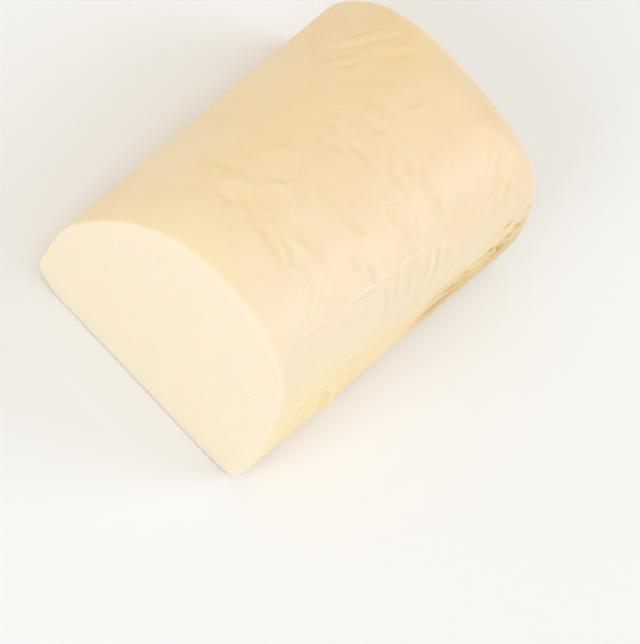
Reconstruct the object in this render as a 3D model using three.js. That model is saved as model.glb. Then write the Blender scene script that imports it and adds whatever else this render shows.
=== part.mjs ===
// Half of a moulded gouda loaf, as a flat cut and an untouched rounded end.
// Millimetres, +Z up. The cut faces -Y, the moulded end faces +Y, and the loaf rests on its flat base.

import * as THREE from 'three';

// ---- driving dimensions ----
const LOAF_WIDTH = 110;          // across the cut
const LOAF_HEIGHT = 91;          // base to crown at the cut
const LOAF_LENGTH = 161;         // cut to the furthest point of the moulded end
const END_SPREAD = 0.016;        // the moulded end is wider than the cut by this share
const END_SKEW = -0.05;          // the end stands off square: mm along for each mm across
const END_BULGE = 13;            // how far the end domes out from its rim
const END_BULGE_POWER = 3;       // above 2 the dome is flatter, with a tighter rim
const END_TOP_SET_BACK = 26;     // how far the end leans back at the crown
const END_TOP_START = 8;         // height where it starts to lean back
const CUT_EDGE_RADIUS = 0.8;     // softened rim of the cut
const MIDDLE_HEIGHT = 0.44 * LOAF_HEIGHT;   // height that the dome and the cut face close on

// Outline of the loaf seen on the cut: control points of a closed cubic B-spline, as shares of
// the width (from the middle) and of the height. It starts under the middle and goes towards +X.
const OUTLINE = [
  [0.000, 0.000], [0.236, 0.000], [0.395, 0.005], [0.491, 0.022], [0.495, 0.148],
  [0.505, 0.330], [0.477, 0.500], [0.455, 0.692], [0.405, 0.824], [0.236, 0.984],
  [0.100, 0.995], [-0.077, 1.005], [-0.223, 0.912], [-0.355, 0.758], [-0.464, 0.516],
  [-0.505, 0.363], [-0.495, 0.154], [-0.500, 0.055], [-0.418, 0.000], [-0.236, 0.000],
];

// Marks that the tight wrap pressed into the rind: raised lines (height above 0) and grooves (below
// 0). A track runs through its places, each [along the loaf from the cut, round the loaf from the
// middle of the base, going towards +X]. Width is half the track's width.
const TRACKS = [
  { name: 'seam', height: 0.3, width: 1.4, places: [[-4, 137], [23, 133], [47, 131.5], [69, 130], [88, 126.5], [96, 123.5]] },
  { name: 'fold_upper', height: 0.7, width: 1.4, places: [[10, 107], [26, 104.5], [40, 105.5], [56, 103.5]] },
  { name: 'fold_line', height: 0.9, width: 1.5, places: [[-3, 103], [25, 101.5], [47, 102], [71, 98]] },
  { name: 'lip_lump', height: 1.0, width: 2.4, places: [[28, 94], [35, 81]] },
  { name: 'lip_turn', height: 0.7, width: 2.4, places: [[64, 87], [62, 98], [62, 105]] },
  { name: 'fold_rise', height: 0.7, width: 2.2, places: [[83, 86], [84, 90], [87, 93], [87, 99]] },
  { name: 'fold_far', height: 0.6, width: 1.8, places: [[82, 99], [93, 97.5], [110, 96], [148, 93.5]] },
  { name: 'fold_far_lower', height: 0.7, width: 2.0, places: [[96, 84.5], [110, 86], [130, 82.5]] },
  { name: 'side_line', height: 0.5, width: 2.0, places: [[84, 127], [84, 122], [81, 117], [80, 109]] },
  { name: 'left_seam', height: 0.25, width: 1.8, places: [[42, 219.5], [65, 216], [93, 216]] },
  { name: 'shoulder_seam', height: 0.35, width: 2.0, places: [[93, 215.5], [104, 213.5], [116, 206], [121, 203.5]] },
  { name: 'shoulder_rise', height: 0.45, width: 2.2, places: [[116, 225], [121, 217], [128, 210], [136, 200]] },
  { name: 'shoulder_top', height: -0.45, width: 2.0, places: [[123, 222], [128, 215], [135, 208]] },
  { name: 'shoulder_second', height: -0.45, width: 2.2, places: [[114, 219.5], [123, 209], [134, 199]] },
  { name: 'shoulder_far', height: -0.35, width: 2.2, places: [[120, 199.5], [123, 193], [131, 190.5]] },
  { name: 'shoulder_low', height: -0.45, width: 2.2, places: [[99, 190], [100, 185], [101, 179.5]] },
  { name: 'corner_groove', height: -0.35, width: 2.2, places: [[111, 230], [119, 234], [131, 242]] },
  { name: 'crown_crescent', height: -0.6, width: 2.0, places: [[25, 184], [25, 175], [25, 166]] },
  { name: 'crescent_second', height: -0.5, width: 2.0, places: [[31, 169.5], [29, 162.5], [26, 158]] },
  { name: 'hook_left', height: -0.6, width: 2.0, places: [[30, 198], [28, 192], [28, 189]] },
  { name: 'hook_right', height: -0.5, width: 2.0, places: [[33, 190], [30, 186], [29, 180]] },
  { name: 'long_rise', height: 0.5, width: 2.2, places: [[33, 162], [35, 159], [34, 155], [28, 149], [20, 139]] },
  { name: 'crown_line', height: -0.45, width: 2.0, places: [[48, 193], [47, 188], [48, 185], [52, 182]] },
  { name: 'far_stroke', height: -0.4, width: 2.0, places: [[81, 181], [80, 176], [81, 167]] },
  { name: 'fan_rise', height: 0.4, width: 2.0, places: [[52, 146], [52, 141], [51, 134]] },
  { name: 'fan_groove', height: -0.35, width: 2.0, places: [[65, 150], [65, 147], [67, 142]] },
  { name: 'fan_deep', height: -0.45, width: 2.0, places: [[75, 153], [74, 149], [73, 144]] },
  { name: 'fan_end_rise', height: 0.45, width: 2.2, places: [[81, 145], [80, 139], [78, 133]] },
  { name: 'wall_stroke', height: -0.35, width: 2.0, places: [[87, 167], [84, 158], [84, 153], [81, 148]] },
  { name: 'wall_deep', height: -0.5, width: 2.0, places: [[96, 157], [94, 153], [92, 145]] },
  { name: 'wall_last', height: -0.5, width: 2.0, places: [[94, 145], [94, 141], [94, 134]] },
  { name: 'end_bow', height: -0.35, width: 2.0, places: [[131, 143], [127, 136], [122, 130], [113, 126]] },
  { name: 'end_bow_rise', height: 0.35, width: 2.0, places: [[135, 136], [131, 131], [120, 124.5]] },
];
const TRACK_FADE_POWER = 0.5;    // below 1 a track keeps its height nearer to its ends

// Below the fold the skin is tucked in, deepest in the middle of the loaf's length.
const TUCK = { top: 92, bottom: 66, from: 6, to: 120, depth: 1.1 };

// ---- fineness of the faceted skin ----
const SPLINE_STEPS = 40;         // samples for each control point, before even spacing
// Spacing of the lines that run along the loaf, by stretch: [round the loaf up to, spacing].
const COLUMN_SPACING = [
  [44, 11], [62, 2.6], [86, 3.2], [108, 1.7], [123, 2.9], [139, 1.9], [232, 3.6], [276, 4.2],
  [296, 2.8], [1000, 11],
];
const ROW_SPACING = 3.3;         // between rings round the loaf
const EDGE_RINGS = 3;            // rings on the softened rim of the cut
const CAP_RINGS = 9;             // rings on the domed end
const FADE_NEAR_CUT = 1.5;       // relief fades out over this length at the cut
const OUTWARD_PROBE = 0.5;       // half length of the stretch that gives the outward direction

const RIND = { color: 0xf3dcae, roughness: 0.5, metalness: 0 };

// ---- outline ----
function outlinePolyline() {
  const controls = OUTLINE.map(([across, up]) => [across * LOAF_WIDTH, up * LOAF_HEIGHT]);
  const points = [];
  const count = controls.length;
  for (let i = 0; i < count; i += 1) {
    const [p0, p1, p2, p3] = [-1, 0, 1, 2].map((step) => controls[(i + step + count) % count]);
    for (let k = 0; k < SPLINE_STEPS; k += 1) {
      const t = k / SPLINE_STEPS;
      const weights = [
        (1 - t) ** 3 / 6,
        (3 * t ** 3 - 6 * t ** 2 + 4) / 6,
        (-3 * t ** 3 + 3 * t ** 2 + 3 * t + 1) / 6,
        t ** 3 / 6,
      ];
      const [x, z] = [0, 1].map((axis) =>
        weights[0] * p0[axis] + weights[1] * p1[axis] + weights[2] * p2[axis] + weights[3] * p3[axis]);
      points.push(new THREE.Vector2(x, Math.max(0, z)));
    }
  }
  return points;
}

// Arc length from the first point to each point, with the closing stretch at the end.
function arcLengths(points) {
  const lengths = [0];
  points.forEach((point, i) => {
    lengths.push(lengths[i] + point.distanceTo(points[(i + 1) % points.length]));
  });
  return lengths;
}

function pointAt(points, lengths, around) {
  const total = lengths[lengths.length - 1];
  const wanted = ((around % total) + total) % total;
  let i = 0;
  while (lengths[i + 1] < wanted) i += 1;
  const share = (wanted - lengths[i]) / (lengths[i + 1] - lengths[i]);
  return points[i].clone().lerp(points[(i + 1) % points.length], share);
}

// Places round the loaf of the lines that run along it, finer where the wrap left its folds.
function columnPlaces(total) {
  const places = [];
  let start = 0;
  for (const [stretchEnd, spacing] of COLUMN_SPACING) {
    const end = Math.min(stretchEnd, total);
    const steps = Math.round((end - start) / spacing);
    for (let k = 0; k < steps; k += 1) places.push(start + (k * (end - start)) / steps);
    start = end;
    if (end === total) break;
  }
  return places;
}

function buildColumns() {
  const points = outlinePolyline();
  const lengths = arcLengths(points);
  return columnPlaces(lengths[lengths.length - 1]).map((around) => {
    const before = pointAt(points, lengths, around - OUTWARD_PROBE);
    const after = pointAt(points, lengths, around + OUTWARD_PROBE);
    const direction = after.sub(before).normalize();
    return {
      around,
      point: pointAt(points, lengths, around),
      outward: new THREE.Vector2(direction.y, -direction.x),
    };
  });
}

// ---- relief ----
function trackLength(track) {
  return track.places.slice(1).reduce((sum, [along, around], i) =>
    sum + Math.hypot(along - track.places[i][0], around - track.places[i][1]), 0);
}

// The track's height at a place: full on its line, fading to each side and towards its ends.
function trackHeight(track, place) {
  const start = new THREE.Vector2();
  const run = new THREE.Vector2();
  const offset = new THREE.Vector2();
  const total = trackLength(track);
  let nearest = Infinity;
  let share = 0;
  let passed = 0;
  for (let i = 0; i + 1 < track.places.length; i += 1) {
    start.set(...track.places[i]);
    run.set(...track.places[i + 1]).sub(start);
    const length = run.length();
    run.divideScalar(length);
    offset.copy(place).sub(start);
    const reach = THREE.MathUtils.clamp(offset.dot(run), 0, length);
    const distance = offset.addScaledVector(run, -reach).length();
    if (distance < nearest) {
      nearest = distance;
      share = (passed + reach) / total;
    }
    passed += length;
  }
  const fade = Math.max(0, Math.sin(Math.PI * share)) ** TRACK_FADE_POWER;
  return track.height * fade * Math.exp(-((nearest / track.width) ** 2));
}

function tuckDepth(along, around) {
  const share = (along - TUCK.from) / (TUCK.to - TUCK.from);
  if (share <= 0 || share >= 1) return 0;
  const down = (TUCK.top - around) / (TUCK.top - TUCK.bottom);
  if (down <= 0 || down >= 1) return 0;
  const profile = Math.min(down / 0.15, 1) * (1 - down);
  return TUCK.depth * profile * Math.sin(Math.PI * share) ** 0.5;
}

function relief(along, around) {
  const place = new THREE.Vector2(along, around);
  const raised = TRACKS.reduce((sum, track) => sum + trackHeight(track, place), 0);
  return (raised - tuckDepth(along, around)) * Math.min(Math.max(along / FADE_NEAR_CUT, 0), 1);
}

// ---- skin ----
function topSetBack(height) {
  const share = THREE.MathUtils.clamp((height - END_TOP_START) / (LOAF_HEIGHT - END_TOP_START), 0, 1);
  return END_TOP_SET_BACK * (1 - Math.sqrt(1 - share * share));
}

function endPlace(across, height) {
  return LOAF_LENGTH - topSetBack(height) + END_SKEW * across;
}

function skinPoint(column, share) {
  const { point, outward, around } = column;
  const along = share * (endPlace(point.x, point.y) - END_BULGE);
  const raised = point.y > 0 ? relief(along, around) : 0;
  return new THREE.Vector3(
    (point.x + outward.x * raised) * (1 + END_SPREAD * share),
    along,
    Math.max(0, point.y + outward.y * raised),
  );
}

// Rings of the softened rim, from the flat of the cut to the skin.
function cutEdgeRings(columns) {
  const rings = [];
  for (let k = 0; k < EDGE_RINGS; k += 1) {
    const angle = (k / EDGE_RINGS) * (Math.PI / 2);
    const inset = CUT_EDGE_RADIUS * (1 - Math.sin(angle));
    const along = CUT_EDGE_RADIUS * (1 - Math.cos(angle));
    rings.push(columns.map(({ point, outward }) =>
      new THREE.Vector3(point.x - outward.x * inset, along, Math.max(0, point.y - outward.y * inset))));
  }
  return rings;
}

function skinRings(columns) {
  const rows = Math.ceil(LOAF_LENGTH / ROW_SPACING);
  const firstShare = CUT_EDGE_RADIUS / LOAF_LENGTH;
  const rings = [];
  for (let row = 0; row <= rows; row += 1) {
    const share = firstShare + (1 - firstShare) * (row / rows);
    rings.push(columns.map((column) => skinPoint(column, share)));
  }
  return rings;
}

// Rings that close the domed end, shrinking towards the middle of the section.
function capRings(columns) {
  const middle = new THREE.Vector2(0, MIDDLE_HEIGHT);
  const rings = [];
  for (let k = 1; k < CAP_RINGS; k += 1) {
    const size = Math.cos((k / CAP_RINGS) * (Math.PI / 2)) ** (2 / END_BULGE_POWER);
    rings.push(columns.map(({ point }) => {
      const inner = middle.clone().lerp(point, size);
      const bulge = END_BULGE * (1 - (1 - size ** END_BULGE_POWER) ** (1 / END_BULGE_POWER));
      const along = endPlace(inner.x, inner.y) - bulge;
      return new THREE.Vector3(inner.x * (1 + END_SPREAD), along, inner.y);
    }));
  }
  return rings;
}

function loafGeometry() {
  const columns = buildColumns();
  const rings = [...cutEdgeRings(columns), ...skinRings(columns), ...capRings(columns)];
  const width = columns.length;
  const positions = rings.flatMap((ring) => ring.flatMap((point) => point.toArray()));
  const indices = [];
  for (let row = 0; row + 1 < rings.length; row += 1) {
    for (let i = 0; i < width; i += 1) {
      const next = (i + 1) % width;
      const [a, b] = [row * width + i, row * width + next];
      const [c, d] = [b + width, a + width];
      indices.push(a, c, b, a, d, c);
    }
  }
  // The cut is flat, so it is one fan round its middle; the dome closes on its furthest point.
  const cutMiddle = rings.length * width;
  const endMiddle = cutMiddle + 1;
  positions.push(0, 0, MIDDLE_HEIGHT);
  positions.push(0, endPlace(0, MIDDLE_HEIGHT), MIDDLE_HEIGHT);
  const lastRing = (rings.length - 1) * width;
  for (let i = 0; i < width; i += 1) {
    const next = (i + 1) % width;
    indices.push(cutMiddle, i, next);
    indices.push(endMiddle, lastRing + next, lastRing + i);
  }
  const geometry = new THREE.BufferGeometry();
  geometry.setAttribute('position', new THREE.Float32BufferAttribute(positions, 3));
  geometry.setIndex(indices);
  // The origin is under the middle of the loaf's box.
  geometry.computeBoundingBox();
  const centre = geometry.boundingBox.getCenter(new THREE.Vector3());
  geometry.translate(-centre.x, -centre.y, -geometry.boundingBox.min.z);
  geometry.computeVertexNormals();
  return geometry;
}

const loaf = new THREE.Mesh(loafGeometry(), new THREE.MeshStandardMaterial(RIND));
loaf.name = 'gouda_loaf';

const part = new THREE.Group();
part.add(loaf);

export default part;
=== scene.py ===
"""A cut gouda loaf, with a flat cut and a rind creased by a tight wrap, and its stage.

Laid out as an add-on and run as a script. Sizes are metres. A place on the rind is given in
millimetres as (along, around): along the loaf from the cut, and round the loaf from the middle of
the base, going towards +X first.
"""

import math

import bpy
import numpy as np
from bpy.props import FloatProperty, FloatVectorProperty, IntProperty, PointerProperty
from bpy.types import Operator, Panel, PropertyGroup
from mathutils import Matrix, Vector


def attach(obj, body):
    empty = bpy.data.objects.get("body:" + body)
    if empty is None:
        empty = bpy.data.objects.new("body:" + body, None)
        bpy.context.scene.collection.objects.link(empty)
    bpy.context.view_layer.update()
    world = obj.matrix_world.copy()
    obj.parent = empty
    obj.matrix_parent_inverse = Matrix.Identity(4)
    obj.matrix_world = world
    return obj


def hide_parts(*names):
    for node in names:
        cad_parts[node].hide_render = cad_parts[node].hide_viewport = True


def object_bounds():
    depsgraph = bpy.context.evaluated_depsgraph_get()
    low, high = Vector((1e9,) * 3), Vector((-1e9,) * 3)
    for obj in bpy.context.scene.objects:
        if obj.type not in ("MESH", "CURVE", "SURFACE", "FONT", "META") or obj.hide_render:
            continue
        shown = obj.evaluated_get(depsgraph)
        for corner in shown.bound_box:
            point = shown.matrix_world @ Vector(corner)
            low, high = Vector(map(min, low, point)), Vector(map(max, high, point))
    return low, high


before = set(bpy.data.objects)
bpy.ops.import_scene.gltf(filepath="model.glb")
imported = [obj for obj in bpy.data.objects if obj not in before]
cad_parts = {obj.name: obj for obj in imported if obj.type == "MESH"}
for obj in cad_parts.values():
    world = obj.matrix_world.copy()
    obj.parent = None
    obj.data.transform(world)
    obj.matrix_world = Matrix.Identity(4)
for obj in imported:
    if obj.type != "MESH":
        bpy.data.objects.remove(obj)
CAD_LOW, CAD_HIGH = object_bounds()

bl_info = {
    "name": "Gouda loaf",
    "version": (1, 0, 0),
    "blender": (4, 5, 0),
    "location": "3D View > Sidebar > Gouda",
    "description": "Builds a cut gouda loaf with a creased rind, and a plain stage for it",
    "category": "Object",
}

LOAF_NODE = "gouda_loaf"
LOAF_PIECE = "cut_gouda_loaf"
LOAF_SLOT = "gouda_paste"
MM = 0.001

# Outline of the loaf seen on the cut: control points of a closed cubic B-spline, as shares of
# the width (from the middle) and of the height. It starts under the middle and goes towards +X.
OUTLINE = (
    (0.000, 0.000), (0.236, 0.000), (0.395, 0.005), (0.491, 0.022), (0.495, 0.148),
    (0.505, 0.330), (0.477, 0.500), (0.455, 0.692), (0.405, 0.824), (0.236, 0.984),
    (0.100, 0.995), (-0.077, 1.005), (-0.223, 0.912), (-0.355, 0.758), (-0.464, 0.516),
    (-0.505, 0.363), (-0.495, 0.154), (-0.500, 0.055), (-0.418, 0.000), (-0.236, 0.000),
)
SPLINE_STEPS = 60
SECTION_MIDDLE = 0.44           # height share that the end dome and the cut face close on
DOME_POWER = 3                  # above 2 the dome is flatter, with a tighter rim
LEAN_START = 0.008              # height where the end starts to lean back

# Raised lines and grooves that the wrap pressed into the rind: height (below 0 for a groove) and
# half width in millimetres, then the places on the rind that the line runs through.
TRACKS = (
    # The crown near the cut.
    (-1.01, 1.95, (28, 184), (28, 179), (27.4, 174.5), (26.5, 170), (25.2, 165.5)),
    (-0.36, 1.38, (26, 168), (25, 165), (23, 162)),
    (-0.94, 1.61, (31.5, 170), (30.8, 166), (29.8, 162.5), (26, 158)),
    (-0.69, 1.61, (30.5, 198), (28, 192.5), (28.5, 189)),
    (-0.81, 1.61, (33, 190.5), (30.5, 186.5), (29.5, 180.5)),
    (0.54, 1.95, (34.5, 209), (35.5, 202.5), (37.5, 198), (38, 193), (36, 188)),
    (-0.5, 1.84, (40.5, 215), (42.5, 208), (42.5, 201), (41.5, 195.5), (41.5, 190)),
    (-0.5, 1.72, (47.5, 193), (47, 188.5), (48.5, 185.5), (52.5, 182.5)),
    (0.38, 1.49, (44, 187), (47, 182.5), (47, 177)),
    (-0.22, 1.49, (41.5, 182.5), (44.5, 179.5), (45, 175.5)),
    (0.81, 1.72, (32.5, 169), (34, 162), (34.5, 158), (33, 154), (28, 149)),
    (0.55, 1.49, (30.5, 149), (26.5, 142.5), (20, 139)),
    (-0.37, 1.6, (37.5, 164), (38.5, 161), (39.5, 158)),
    (-0.22, 1.72, (39.5, 170.5), (38.5, 165.5), (39, 163)),
    # The middle of the crown, and the fan of lines beside it towards +X.
    (-0.6, 1.49, (81, 181.5), (80, 176.5), (80.5, 172), (81, 167.5)),
    (-0.48, 1.49, (76, 185), (74, 181.5), (75, 178.5)),
    (-0.64, 1.49, (93.5, 180), (93, 176.5), (93.5, 173.5)),
    (0.32, 1.61, (69, 169), (68, 165.5), (69, 162.5)),
    (-0.52, 1.61, (58, 158), (58, 154.5), (59.5, 150)),
    (-0.39, 1.61, (65, 150.5), (65.5, 147), (67.5, 142.5)),
    (0.53, 1.61, (69, 152.5), (70, 147), (72.5, 139.5)),
    (0.67, 1.61, (52, 146.5), (52, 141), (51.5, 134)),
    (-0.56, 1.49, (49.5, 148), (49, 143.5), (48.5, 139)),
    (-0.56, 1.49, (55, 139.5), (55, 136), (54, 132)),
    (-0.75, 1.84, (75, 153.5), (74, 149.5), (73.5, 144.5)),
    (0.55, 1.61, (78, 151), (77.5, 147.5), (76, 145)),
    (-0.45, 1.61, (75, 143), (76, 139), (74.5, 135)),
    (0.5, 1.72, (81, 145.5), (80, 139.5), (78, 133.5)),
    # The upper wall beyond the fan.
    (-0.45, 1.61, (87.5, 167), (85, 162.5), (84, 158), (84, 153), (81.5, 148.5)),
    (0.22, 1.61, (87, 162.5), (86.5, 157.5), (85.5, 152.5), (85, 149.5)),
    (-0.5, 1.61, (94.5, 160.5), (91.5, 159.5), (90.5, 155.5)),
    (-0.68, 1.84, (96, 157.5), (94.5, 153), (93.5, 150), (92, 145)),
    (-0.81, 1.84, (94, 145), (94, 141), (94.5, 134.5)),
    (0.5, 1.61, (96.5, 141), (97, 136), (96.5, 132)),
    # The upper wall near the far end.
    (-0.41, 1.49, (134.5, 152), (128.5, 146), (123, 139.5)),
    (-0.45, 1.61, (131, 143), (127.5, 136.5), (122.5, 130), (113.5, 126)),
    (0.52, 1.49, (135, 136), (131.5, 131), (126.5, 128), (120, 124.5)),
    (-0.43, 1.49, (129, 128.5), (127, 124.5), (124, 121)),
    (0.35, 1.49, (133, 130.5), (130, 123.5), (125.5, 119.5)),
    # The far shoulder and crown.
    (-0.45, 1.84, (123, 222), (128, 215), (135.5, 208)),
    (0.46, 1.95, (116, 225), (121.5, 217), (128.5, 210), (136, 200.5)),
    (-0.44, 1.72, (114, 219.5), (118.5, 214.5), (123, 209), (128.5, 203.5), (134, 199)),
    (-0.22, 1.61, (109, 219), (114.5, 210.5), (119, 206.5), (124, 204)),
    (0.4, 1.72, (93, 215.5), (104, 213.5), (110, 210), (116.5, 206), (121.5, 203.5)),
    (0.26, 1.84, (121.5, 205), (127, 197), (132.5, 191.5)),
    (-0.33, 1.61, (105.5, 211), (110, 205.5), (116.5, 200.5)),
    (-0.37, 1.72, (120, 199.5), (123.5, 193), (128.5, 190), (131, 190.5)),
    (-0.2, 1.61, (99.5, 203), (105.5, 194.5), (115, 184.5)),
    (0.26, 1.84, (100.5, 195.5), (104, 190.5), (107, 184.5)),
    (-0.48, 1.72, (99, 190), (100, 185), (101, 179.5)),
    (-0.28, 1.61, (108, 175.5), (112.5, 174.5), (116.5, 174)),
    (0.22, 1.61, (105.5, 174.5), (110.5, 172.5), (117, 170)),
    # The -X side.
    (0.35, 1.4, (109, 225), (115, 228), (120, 230), (128, 236.5)),
    (-0.35, 1.3, (117, 231), (122, 234), (130, 240)),
    (0.26, 1.3, (42, 219.5), (49, 218.5), (65, 216), (81, 215.5), (93.5, 216)),
    # The long seam of the wrap, with its shade and pits.
    (0.5, 0.8, (-4, 137.6), (12.5, 135.1), (23, 133.6), (36.5, 132.1), (47.5, 132.1),
        (58.5, 131.6), (69, 130.6), (77.5, 129.6), (88, 127.1), (96, 124.1)),
    (-0.22, 0.8, (64.5, 131.6), (72.5, 131.6), (79, 130.6), (89, 128.1)),
    (-0.36, 0.9, (13, 133.6), (20, 133.1), (29.5, 132.6), (39.5, 132.6), (50.5, 129.6), (59.5, 129.6)),
    # Lines across the wall below the seam.
    (1, 1.5, (84.5, 127), (84, 122), (81.5, 117), (80, 109)),
    (-0.68, 1.3, (88, 125), (86, 119.5), (83.5, 115)),
    (-0.55, 1.2, (81.5, 124.5), (80.5, 118), (75.5, 116)),
    (0.75, 1.3, (68, 130), (67, 126), (65.5, 122)),
    (-0.5, 1.1, (65.5, 129), (64, 124), (63, 119.5)),
    (0.39, 1, (60.5, 128), (61, 124), (59.5, 120)),
    (-0.56, 1.2, (59, 130), (58, 122), (57.5, 110.5)),
    # The fold along the wall, and the lip below it.
    (1.12, 0.9, (10, 107), (26.5, 104.5), (39.5, 105.5), (56, 103.5)),
    (1.25, 1, (-3, 103), (12, 102), (25, 101.5), (47.5, 102), (60.5, 100), (71, 98)),
    (-0.65, 1.6, (-2, 97), (16.5, 92.5), (31, 93.5), (44, 95), (53, 93.5)),
    (0.7, 2, (64.5, 87.5), (62, 98.5), (62.5, 105)),
    (1.4, 1.8, (29, 97), (33.5, 90), (38, 83), (41, 74), (42, 62)),
    (-0.9, 1.3, (33, 86), (36, 78), (38, 70), (38, 60)),
    (1, 1.7, (40, 91), (45, 82), (48, 72), (49, 60)),
    # The far stretch of the fold.
    (0.73, 2, (83, 86), (84, 90), (87, 93), (87.5, 98.5)),
    (0.88, 1.6, (82, 99), (93, 97.5), (110.5, 96), (128, 95), (148, 93.5)),
    (0.5, 1.2, (87.5, 104.5), (99, 103.5), (109, 104)),
    (-0.38, 1.2, (88, 91), (104, 91.5), (119, 90), (131, 91), (147, 90)),
    (0.6, 1.2, (96, 84.5), (110, 86), (130, 82.5)),
    # Streaks between and below the folds.
    (-0.62, 1, (-3, 99.2), (16, 98.4), (47.5, 99.2), (59, 97.4)),
    (-0.77, 1, (90, 94), (110, 93.5), (128, 93), (143, 94.5)),
    (0.77, 1, (95, 88.5), (115, 88.5), (127, 88)),
    (-0.77, 1, (118, 86), (130, 85.5), (140, 87)),
    (0.77, 1, (100, 81.5), (120, 80.5), (136, 82)),
    # Finer lines below the seam.
    (-0.54, 1, (71.5, 127), (71, 122), (69, 116.5)),
    (0.54, 1, (73.5, 126), (73, 120), (71, 113)),
    (-0.54, 1, (77, 125), (76, 119), (73.5, 111)),
    (-0.54, 1.1, (93, 122), (91.5, 117), (89, 112)),
    (0.54, 1.1, (97, 121), (95.5, 115), (92.5, 109)),
    # Faint rises and hollows of the crown.
    (0.54, 1.38, (27.5, 182), (28.5, 176), (28.2, 169)),
    (-0.25, 1.61, (36, 215), (36.5, 211), (36.5, 207)),
    (0.4, 1.61, (32.5, 201), (32, 197), (30.5, 193)),
    (0.28, 1.84, (59.5, 197), (61.5, 192), (62, 187)),
    (-0.28, 1.72, (57.5, 188), (58, 184), (56, 181)),
    (-0.3, 1.4, (81.5, 192), (81, 189), (82.5, 186)),
    # Crumples on the far lower corner.
    (1.05, 1.3, (124, 93), (127.5, 88), (128, 84)),
    (-0.9, 1.2, (127.5, 93), (130.5, 88), (131, 84)),
    (0.9, 1.2, (134, 95), (136, 90), (136.5, 85)),
    (-0.75, 1.1, (138, 96), (140, 91), (140.5, 87)),
    (-0.75, 1.2, (110, 91), (113, 87), (114, 82)),
    # Smaller lumps of the lip.
    (-0.7, 1.3, (45, 88), (50, 80), (53, 70), (53, 60)),
    (0.6, 1.5, (26, 88), (30, 80), (33, 70), (33, 60)),
    (0.5, 1.8, (41, 74), (42.5, 66), (43, 56)),
    (0.45, 1.8, (29, 74), (30.5, 66), (31, 56)),
    (-0.7, 1.5, (36.5, 74), (37, 66), (37, 56)),
)

TRACK_FADE_POWER = 0.45         # below 1 a line keeps its height nearer to its ends
TRACK_BANKS = 0.35              # how far the skin rises beside a groove, or sinks beside a ridge

# Below the fold the skin is tucked in, deepest in the middle of the loaf's length.
TUCK_TOP, TUCK_BOTTOM = 92.0, 66.0
TUCK_FROM, TUCK_TO = 6.0, 120.0
TUCK_DEPTH = 1.1
TUCK_LIP = 0.15                 # share of its breadth over which the tuck deepens

# The arcs of the crease pattern: where an arc crosses the crown, and how much it bends towards -X
# and towards +X.
CROWN_AROUND = 170.0
ARC_BENDS = (
    (0, -0.002, 0.004), (20, -0.002, 0.004), (36, -0.005, 0.003), (57, 0.003, -0.005),
    (78, 0.003, 0.001), (102, 0.0105, 0.013), (120, 0.019, 0.022), (165, 0.022, 0.022),
)
ARC_REACH_LEFT, ARC_REACH_RIGHT = 60.0, 45.0    # how far from the crown an arc keeps bending

# Places of the dull tan rubs on the far lower corner: along, around, half length, half width.
RUBS = (
    (132.5, 84.0, 5.0, 2.2), (138.0, 92.0, 5.5, 2.2), (124.0, 91.5, 5.0, 1.5),
    (112.0, 78.0, 10.0, 2.2), (97.0, 79.0, 11.0, 2.0), (145.0, 101.0, 3.0, 2.2),
    (131.0, 101.5, 2.5, 1.5), (106.0, 86.0, 8.0, 1.2),
)

# Lines that run along the loaf, by stretch: (round the loaf up to, spacing), in millimetres.
COLUMN_SPACING = (
    (44, 2.9), (62, 1.0), (84, 0.85), (142, 0.6), (232, 0.9), (276, 1.25), (297, 1.0), (1000, 2.9),
)
ROW_SPACING = 0.85              # between rings round the loaf
EDGE_RINGS = 6                  # rings on the softened rim of the cut
CAP_RINGS = 34                  # rings on the domed end
FACE_RINGS = 46                 # rings on the cut face
FACE_RING_POWER = 0.9           # below 1 the rings are closer together towards the rim
BASE_RIM_HEIGHT = 2.0           # the softened rim dies out below this height
RIND_RINGS = (1.0, 4.5)         # rings of the rim over which the cut turns into rind
DENTS_TAKE_OVER = (0.93, 1.0)   # share of the length where dents replace the creases
DENTS_FROM_BASE = (0.5, 8.0)    # heights over which the end's dents begin
DENT_SHARE = 0.9                # strength of the dents on the end
WALL_ENDS = (0.70, 0.96)        # size of the end's rings where its colour stops following the wall
END_AROUND = 205.0              # place round the loaf whose colour the middle of the end takes
FADE_NEAR_CUT = 1.5             # the tracks fade out over this length at the cut
OUTWARD_PROBE = 0.5             # half length of the stretch that gives the outward direction

# The fine creases, as noise. Pairs of scales are waves per millimetre, across the arcs and along
# them; those of the knife are waves per metre.
PATCH_SCALES = (0.035, 0.035)   # the wrap is tighter in some patches than in others
PATCH_RANGE = (0.32, 0.66, 0.35, 1.25)      # noise where loose and tight, and strength at each
BEND_SCALES, BEND_REACH = (0.045, 0.06), 3.2    # a slow bend, by about this many creases
SHORT_FINENESS = (1.9, 1.7)     # how much finer the short creases are than the long ones
SHORT_SHARE = 0.30
SHARP_WIDTH, SHARP_SHARE = 0.18, 0.45       # the middle of the short noise becomes a sharp groove
DENT_HEIGHT = 0.8               # height of the dents, as a share of the creases' depth
KNIFE_SCALES, KNIFE_DEPTH = (14.0, 42.0), 0.00022   # waves of the cut, across it and up it
CUT_NORMAL = -0.98              # a face whose normal has a Y below this belongs to the cut

# The rind's colour runs from pale to deep with its noises, and with the place on the loaf: it deepens
# towards the far end and the -X side as painted shade.
RIND_LIFT, DEEP_LIFT = 1.015, 1.03      # factors on the two colours
PATCH_DEPTH, STREAK_DEPTH, MOTTLE_DEPTH = 0.40, 0.30, 0.25
MEAN_DEPTH = 0.075
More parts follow.
